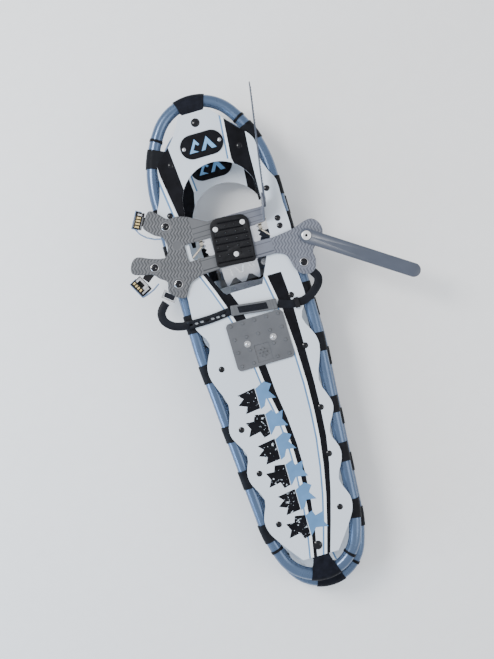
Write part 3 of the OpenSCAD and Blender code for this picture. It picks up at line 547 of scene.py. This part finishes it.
def rubber_from(name, sources, extra, voxel, relief, keep=None):
    """Joins CAD nodes and filler prisms into one rounded skin; keep is (plane x, side kept)."""
    bm = bmesh.new()
    for source in sources:
        bm.from_mesh(nodes[source].data)
    for outline, z0, z1 in extra:
        prism(bm, outline, z0, z1)
    if keep:
        plane_x, side = keep
        geom = bm.verts[:] + bm.edges[:] + bm.faces[:]
        bmesh.ops.bisect_plane(bm, geom=geom, plane_co=at(plane_x, 0, 0),
                               plane_no=(side, 0, 0), clear_inner=True)
        bmesh.ops.remove_doubles(bm, verts=bm.verts, dist=1e-6)
        bmesh.ops.holes_fill(bm, edges=[e for e in bm.edges if e.is_boundary], sides=0)
    mesh = finished(bm, name, smooth=False)
    mesh = modified(mesh, ("REMESH", {"mode": "VOXEL", "voxel_size": voxel * MM}),
                    ("SMOOTH", {"factor": 0.5, "iterations": 3}))
    # painted shade: each upward-facing vertex stores how much of the darker groove colour it shows
    groove_shade = mesh.attributes.new(PAINTED_GROOVE_SHADE, "FLOAT", "POINT")
    for v, d in zip(mesh.vertices, groove_shade.data):
        if v.normal.z > 0.7:
            p = (v.co - UPPER) / MM
            rise, dark = relief(p.x, p.y, p.z)
            v.co.z += rise * MM
            d.value = dark
    return smoothed(mesh)


RING_MARK = (-92.0, 200.0)
BASE_RIBS = [143.5, 161.0, 203.0, 211.5, 221.0]
ARM_RIVETS = [(-103, 238), (-142, 173), (-109, 133), (117, 109)]
STRAP_RIVET = (134, 153)
# radii: a seat's edge, its raised rim's inside and the inside of its ring of painted shade; the
# mark's two
SEAT_R, SEAT_RIM, SEAT_RING = 11.5, 9.6, 8.6
RING_R, RING_RIM = 9.0, 7.8
BASE_FROM, BASE_TO = -60, 72
RIB_HALF = 0.75


def arm_relief(x, y, z):
    """Rise in millimetres, and how much painted shade darkens the spot, most in the lowered hollows.
    """
    if z > HARNESS_TOP + 2:
        return 0.0, 0.0
    d = min(math.hypot(x - a, y - b) for a, b in ARM_RIVETS + [STRAP_RIVET])
    if d < SEAT_R:
        return (0.5, 0.0) if d > SEAT_RIM else (0.1, 0.55 if d > SEAT_RING else 0.25)
    ring = math.hypot(x - RING_MARK[0], y - RING_MARK[1])
    if ring < RING_R:
        return (0.45, 0.0) if ring > RING_RIM else (0.1, 0.3)
    if BASE_FROM < x < BASE_TO:
        near = min(abs(y - r) for r in BASE_RIBS)
        return (-0.4, 1.0) if near < RIB_HALF else (0.15, 0.1)
    # painted shade: the valleys between the zigzag crests are darkened, the crests are not
    crest = zigzag(x, y)
    return 0.6 * crest - 0.1, max(0.0, 1.0 - 1.7 * crest)


# fillers between the base and the arms, so that each side is one skin
SEAM_BRIDGES = [
    ([(-49, 197), (-43, 197), (-43, 235), (-49, 237)], HARNESS_FOOT, HARNESS_TOP),
    ([(-49, 138), (-43, 138), (-43, 166), (-49, 166)], HARNESS_FOOT, HARNESS_TOP),
    ([(59, 198), (65, 198), (65, 226), (59, 226)], HARNESS_FOOT, HARNESS_TOP),
    ([(59, 138), (65, 138), (65, 167), (59, 167)], HARNESS_FOOT, HARNESS_TOP),
]
HARNESS_VOXEL, QUICK_VOXEL = 0.95, 1.6
LOWER_VOXEL, CUSHION_VOXEL = 2.0, 1.0


def make_harness():
    voxel = HARNESS_VOXEL
    left = rubber_from("harness_left", ["left_arms", "harness_base"], SEAM_BRIDGES[:2], voxel,
                       arm_relief, keep=(BIND_X, -1))
    obj = link("harness_left", left, "harness")
    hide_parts("left_arms")
    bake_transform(obj)
    right = rubber_from("harness_right", ["rear_right_arm", "front_right_arm", "harness_base"],
                        SEAM_BRIDGES[2:], voxel, arm_relief, keep=(BIND_X, 1))
    # the right half takes the painted-lighter copy of the harness rubber
    obj = link("harness_right", right, "harness_right")
    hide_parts("rear_right_arm", "front_right_arm", "harness_base")
    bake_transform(obj)


# each strap's CAD node, material, slot, body and edge width
STRAPS = [
    ("front_toe_strap", "toe_strap", "harness", "front_toe_strap", 0.3),
    ("rear_toe_strap", "toe_strap", "harness", "rear_toe_strap", 0.3),
    ("heel_strap_left", "heel_strap", "heel_strap", "upper_arms", 0.3),
    ("heel_strap_right", "heel_strap", "heel_strap", "upper_arms", 0.3),
    ("lower_heel_strap", "heel_strap", "heel_strap", "lower_binding", 0.3),
    ("lower_toe_straps", "toe_strap", "harness", "lower_binding", 0.4),
]


def make_straps():
    """Each strap is its CAD solid with the moulded edges rounded; the lower harness is plain."""
    for node, mat, slot, body, width in STRAPS:
        mesh = modified(nodes[node].data.copy(), ("WELD", {"merge_threshold": 0.02 * MM}),
                        edge_bevel(width))
        obj = link(node + "_skin", smoothed(mesh, MOULDED_CREASE), mat, body)
        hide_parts(node)
    lower = rubber_from("lower_harness_skin", ["lower_harness"], [], LOWER_VOXEL,
                        lambda x, y, z: (0.0, 0.0))
    obj = link("lower_harness_skin", lower, "harness", "lower_binding")
    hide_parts("lower_harness")


PAD_C = (5.0, 181.5)
PAD_TURN = -5.2
PAD_SIZE = (71.0, 87.0)
PAD_BASE, PAD_TOP = 20.0, 25.2
# slots and rows of bumps, (centre x, y, length) and (y, xs), from the pad's centre
PAD_SLOTS = [(-1, 33.5, 40), (2, 21.5, 44), (0, 9, 62), (0, -3.5, 62), (-21.5, -16, 20),
             (21.5, -16, 21), (0, -36, 64)]
PAD_BUMPS = [(27.5, (-8, 8)), (15, (-27, -9, 9, 26)), (3, (-27, -9, 9, 27)),
             (-10, (-27, -9, 9, 27)), (-24, (-27, -11, 10, 27))]
PAD_SCREWS = [(-24, 26.5), (26, 26.5), (0, -25.5)]
PAD_CORNERS = (17, 17, 6, 6)
SLOT_WIDTH, SLOT_DEPTH = 2.6, 2.2
# (radius, height) profiles
STUD = [(2.2, 0), (2.1, 0.7), (1.6, 1.3), (0.7, 1.6)]
SCREW_HEAD = [(4.9, 0), (4.9, 0.7), (4.3, 1.3), (2.2, 1.5), (1.5, 0.9), (0.6, 0.9)]
SCREW_WELL = [(5.4, 0), (5.4, 9)]


def rounded(w, l, radii, steps=8):
    """Rectangle outline with its own corner radii: right top, left top, left foot, right foot."""
    out = []
    for k, ((sx, sy), r) in enumerate(zip(((1, 1), (-1, 1), (-1, -1), (1, -1)), radii)):
        cx, cy = sx * (w / 2 - r), sy * (l / 2 - r)
        for i in range(steps + 1):
            a = math.radians(90 * k + 90 * i / steps)
            out.append((cx + r * math.cos(a), cy + r * math.sin(a)))
    return out


def make_foot_pad():
    """Black rubber pad with slots across, painted shade at the slot floors, rows of small studs, and
    three screw heads.
    """
    def spun(points):
        return turned(points, PAD_C, PAD_TURN)

    bm, cutter, painted_slot_shade = bmesh.new(), bmesh.new(), bmesh.new()
    prism(bm, spun(rounded(*PAD_SIZE, PAD_CORNERS)), PAD_BASE, PAD_TOP - 0.1)
    for x, y, l in PAD_SLOTS:
        slot = [(x + u, y + v) for u, v in rounded(l, SLOT_WIDTH, (1.2,) * 4, 3)]
        prism(cutter, spun(slot), PAD_TOP - SLOT_DEPTH, PAD_TOP + 2)
        # the floor of each slot: a thin dark strip of painted shade
        floor = [(x + u, y + v) for u, v in rounded(l - 0.4, SLOT_WIDTH - 0.4, (1.0,) * 4, 3)]
        prism(painted_slot_shade, spun(floor), PAD_TOP - SLOT_DEPTH - 0.2, PAD_TOP - SLOT_DEPTH + 0.5)
    screws = [(PAD_C[0] + x, PAD_C[1] + y) for x, y in PAD_SCREWS]
    for x, y in screws:
        lathe(cutter, at(x, y, PAD_BASE - 1), SCREW_WELL, 28)
    knife = bpy.data.objects.new("pad_knife", finished(cutter, "pad_knife", smooth=False))
    bpy.context.scene.collection.objects.link(knife)
    mesh = modified(finished(bm, "pad_body", smooth=False),
                    ("BOOLEAN", {"object": knife, "operation": "DIFFERENCE",
                                 "solver": "EXACT", "use_self": True}),
                    edge_bevel(0.55, 3))
    bpy.data.objects.remove(knife)
    obj = link("foot_pad_skin", smoothed(mesh, MOULDED_CREASE), "pad", "upper_binding")
    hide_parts("foot_pad")
    bm = bmesh.new()
    for y, xs in PAD_BUMPS:
        for px, py in spun([(x, y) for x in xs]):
            lathe(bm, at(px, py, PAD_TOP - 0.3), STUD, 20)
    link("foot_pad_studs", finished(bm, "foot_pad_studs"), "gloss", "upper_binding")
    # painted shade in the slots, using the black ink material
    link("foot_pad_slot_shade", finished(painted_slot_shade, "foot_pad_slot_shade", smooth=False), "ink_black",
         "upper_binding")
    bm = bmesh.new()
    for x, y in screws:
        lathe(bm, at(x, y, PAD_TOP - 1.5), SCREW_HEAD)
    link("pad_screw_heads", finished(bm, "pad_screw_heads"), "white_washer",
         "upper_binding")


# the black insert's middle line, and half its width
INSERT_LINE = [(-20, 59.4), (-8, 57.7), (8, 55.6), (22, 53.8), (32, 52.8)]
INSERT_HALF = 6.0
INSERT_FOOT, INSERT_TOP = 20.8, 22.3
INSERT_BUMP = [(1.6, 0), (1.5, 0.35), (0.9, 0.7)]


def make_cushion():
    """Grey moulded cushion with raised end ribs, and a black insert with a row of bumps."""
    def relief(x, y, z):
        # the second value is painted shade for the grooves between the end ribs; the cushion's
        # material does not use it
        ribbed = x > 37 or x < -24
        return (0.35, 0.0) if ribbed and int(abs(x) / 2.4) % 2 else (0.0, 0.8 if ribbed else 0.0)

    body = rubber_from("heel_cushion_skin", ["heel_cushion"], [], CUSHION_VOXEL, relief)
    obj = link("heel_cushion_skin", body, "cushion", "upper_arms")
    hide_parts("heel_cushion")
    bm = bmesh.new()
    outline = ([(x, y + INSERT_HALF) for x, y in INSERT_LINE]
               + [(x + 1, y - INSERT_HALF) for x, y in INSERT_LINE[::-1]])
    prism(bm, outline, INSERT_FOOT, INSERT_TOP)
    for k in range(6):
        lathe(bm, at(-14 + 8.4 * k, 58.6 - 1.0 * k, INSERT_TOP - 0.1), INSERT_BUMP, 16)
    mesh = modified(finished(bm, "cushion_insert"), edge_bevel(0.5))
    link("cushion_insert", mesh, "heel_strap", "upper_arms")


# piece, rivets, height of its foot over the harness, profile, material and slot
RIVET_PIECES = [
    ("arm_rivet_caps", ARM_RIVETS, 0.8,
     [(6.0, 0), (6.0, 1.2), (5.4, 2.0), (4.0, 2.6), (3.0, 2.5), (2.2, 2.15), (0.8, 2.15)],
     "gloss", "black_gloss"),
    ("arm_rivet_rims", ARM_RIVETS, 0.1,
     [(7.5, 0), (7.5, 0.75), (7.1, 1.1), (6.6, 1.2), (6.0, 0.9), (5.6, 0.75)],
     "steel", "steel"),
    ("strap_rivet_washer", [STRAP_RIVET], 4.5,
     [(8.4, 0), (8.4, 0.5), (7.8, 0.9), (4.2, 0.9), (3.4, 0.6)],
     "white_washer", "steel"),
    ("strap_rivet_eye", [STRAP_RIVET], 5.0,
     [(2.4, 0), (2.4, 0.5), (1.8, 0.6)],
     "gloss", "black_gloss"),
]


def make_rivet_caps():
    """Black dished caps in rolled steel rims on the arms, and the right strap's plated washer."""
    for name, rivets, foot, profile, mat, slot in RIVET_PIECES:
        bm = bmesh.new()
        for x, y in rivets:
            lathe(bm, at(x, y, HARNESS_TOP + foot), profile)
        link(name, finished(bm, name), mat, "upper_arms")


def ribbon(line, width):
    """Outline of a strip of even width along a line of points."""
    left, right = [], []
    for i, (x, y) in enumerate(line):
        (x0, y0), (x1, y1) = line[max(0, i - 1)], line[min(len(line) - 1, i + 1)]
        n = math.hypot(x1 - x0, y1 - y0)
        dx, dy = -(y1 - y0) / n * width / 2, (x1 - x0) / n * width / 2
        left.append((x + dx, y + dy))
        right.append((x - dx, y - dy))
    return left + right[::-1]


LOOP_C, LOOP_TURN = (-131.0, 117.0), -39.0
LOOP_SIZE = (19.2, 9.2)
LOOP_FOOT, LOOP_TOP = 15.5, 16.7


def make_loop_strap():
    """The heel strap's end where it shows through the steel loop."""
    bm = bmesh.new()
    prism(bm, turned(rounded(*LOOP_SIZE, (1.5,) * 4, 4), LOOP_C, LOOP_TURN), LOOP_FOOT, LOOP_TOP)
    mesh = modified(finished(bm, "loop_strap", smooth=False), edge_bevel(FINE_EDGE))
    link("loop_strap", mesh, "heel_strap", "upper_arms")


# out is the side, across the buckle, that its cheek and pocket lie on
BUCKLES = (
    {"name": "front", "centre": (-146.6, 262.1), "turn": 61.0, "out": 1, "length": 31.0,
     "half": 7.5, "pocket": (-6.0, 6.2),
     "cheek": [(-157, 250), (-151.5, 239), (-141, 229), (-128.5, 222.6), (-116, 219.5)]},
    {"name": "rear", "centre": (-174.5, 148.0), "turn": 298.0, "out": -1, "length": 31.0,
     "half": 11.0, "pocket": (0.5, 10.2),
     "cheek": [(-177, 128.5), (-168, 130.5), (-155, 136), (-143, 144)]},
)
CHEEK_GAP, CHEEK_T = 0.2, 1.2
CHEEK_FOOT, CHEEK_TOP, CHEEK_LOW_TOP = 7.0, 19.6, 16.6
# the arm's strip starts above the frame tube, which it passes over when the buckle swivels
RAIL_CLEAR, STRIP_TOP, STRIP_WIDTH = 12.9, 16.4, 2.6
BED_FOOT, BED_TOP = 19.0, 19.8
LATCH_COUNT, LATCH_FOOT, LATCH_TOP = 4, 19.7, 20.9


def make_buckle_details():
    """Steel cheeks round each buckle, and its pocket with a row of latch blocks."""
    for b in BUCKLES:
        end, half, out = b["length"] / 2, b["half"], b["out"]

        def block(bm, u0, u1, v0, v1, z0, z1):
            corners = [(u0, v0 * out), (u1, v0 * out), (u1, v1 * out), (u0, v1 * out)]
            prism(bm, turned(corners, b["centre"], b["turn"]), z0, z1)

        steel, bed, pins = bmesh.new(), bmesh.new(), bmesh.new()
        side = end + CHEEK_GAP
        block(steel, -side - CHEEK_T, side + CHEEK_T, half + CHEEK_GAP, half + 1.8,
              CHEEK_FOOT, CHEEK_TOP)
        for u, top in ((-side - CHEEK_T, CHEEK_TOP), (side, CHEEK_LOW_TOP)):
            block(steel, u, u + CHEEK_T, -2.0, half + 1.8, CHEEK_FOOT, top)
        prism(steel, ribbon(b["cheek"], STRIP_WIDTH), RAIL_CLEAR, STRIP_TOP)
        v0, v1 = b["pocket"]
        block(bed, -end + 1.0, end - 6.4, v0, v1, BED_FOOT, BED_TOP)
        step = (b["length"] - 9.0) / LATCH_COUNT
        for k in range(LATCH_COUNT):
            u = -end + 2.2 + k * step
            block(pins, u, u + step * 0.62, v0 + 2.4, v1 - 2.4, LATCH_FOOT, LATCH_TOP)
        buckle = b["name"] + "_buckle"
        for name, bm, mat, slot, body in (
                (buckle + "_cheeks", steel, "cheek", "steel", buckle),
                (b["name"] + "_latch_bed", bed, "gloss", "black_gloss", buckle + "_lever"),
                (b["name"] + "_latch_blocks", pins, "brass", "wire", buckle + "_lever")):
            mesh = modified(finished(bm, name, smooth=False), edge_bevel(FINE_EDGE))
            link(name, mesh, mat, body)


# the crampon's sloping rear plate: its slope in degrees and its foot's y and z
PLATE_SLOPE = 32
PLATE_Y, PLATE_Z = 139, 15
# bead paths in the plate's own plane, and a bead's (side, rise) section
BEADS = [
    [(-24, -3), (-18, -5), (-17, -19)],
    [(-10, -2), (-2, -17), (3, -17), (7, -2)],
    [(15, -2), (21, -14)],
    [(20, -1), (26, -12)],
]
BEAD_HALF = 1.4
BEAD_SECTION = ((-1, 1.9), (-0.5, 2.6), (0.5, 2.6), (1, 1.9))


def make_crampon_beads():
    """Pressed V beads on the toe crampon's rear plate, in a brighter material as a painted highlight.
    """
    bm = bmesh.new()
    slope = math.radians(PLATE_SLOPE)

    def on_plate(u, v, h):
        return at(BIND_X + u, PLATE_Y + v * math.cos(slope) - h * math.sin(slope),
                  PLATE_Z + v * math.sin(slope) + h * math.cos(slope))

    for path in BEADS:
        for (u0, v0), (u1, v1) in zip(path, path[1:]):
            d = Vector((u1 - u0, v1 - v0)).normalized() * BEAD_HALF
            side = Vector((-d.y, d.x))
            ring = []
            for u, v in ((u0, v0), (u1, v1)):
                ring.append([bm.verts.new(on_plate(u + side.x * k, v + side.y * k, h))
                             for k, h in BEAD_SECTION])
            a, b = ring
            for i in range(4):
                bm.faces.new((a[i], a[(i + 1) % 4], b[(i + 1) % 4], b[i]))
            bm.faces.new(a[::-1])
            bm.faces.new(b)
    # painted highlight: the beads get the bright plated material, lighter than the crampon's own
    # metal
    link("crampon_beads", finished(bm, "crampon_beads"), "white_washer",
         "upper_binding")


make_camera()
make_stage()
dress_cad_nodes()
make_prints()
make_emblems()
make_harness()
make_straps()
make_foot_pad()
make_cushion()
make_rivet_caps()
make_buckle_details()
make_loop_strap()
make_crampon_beads()
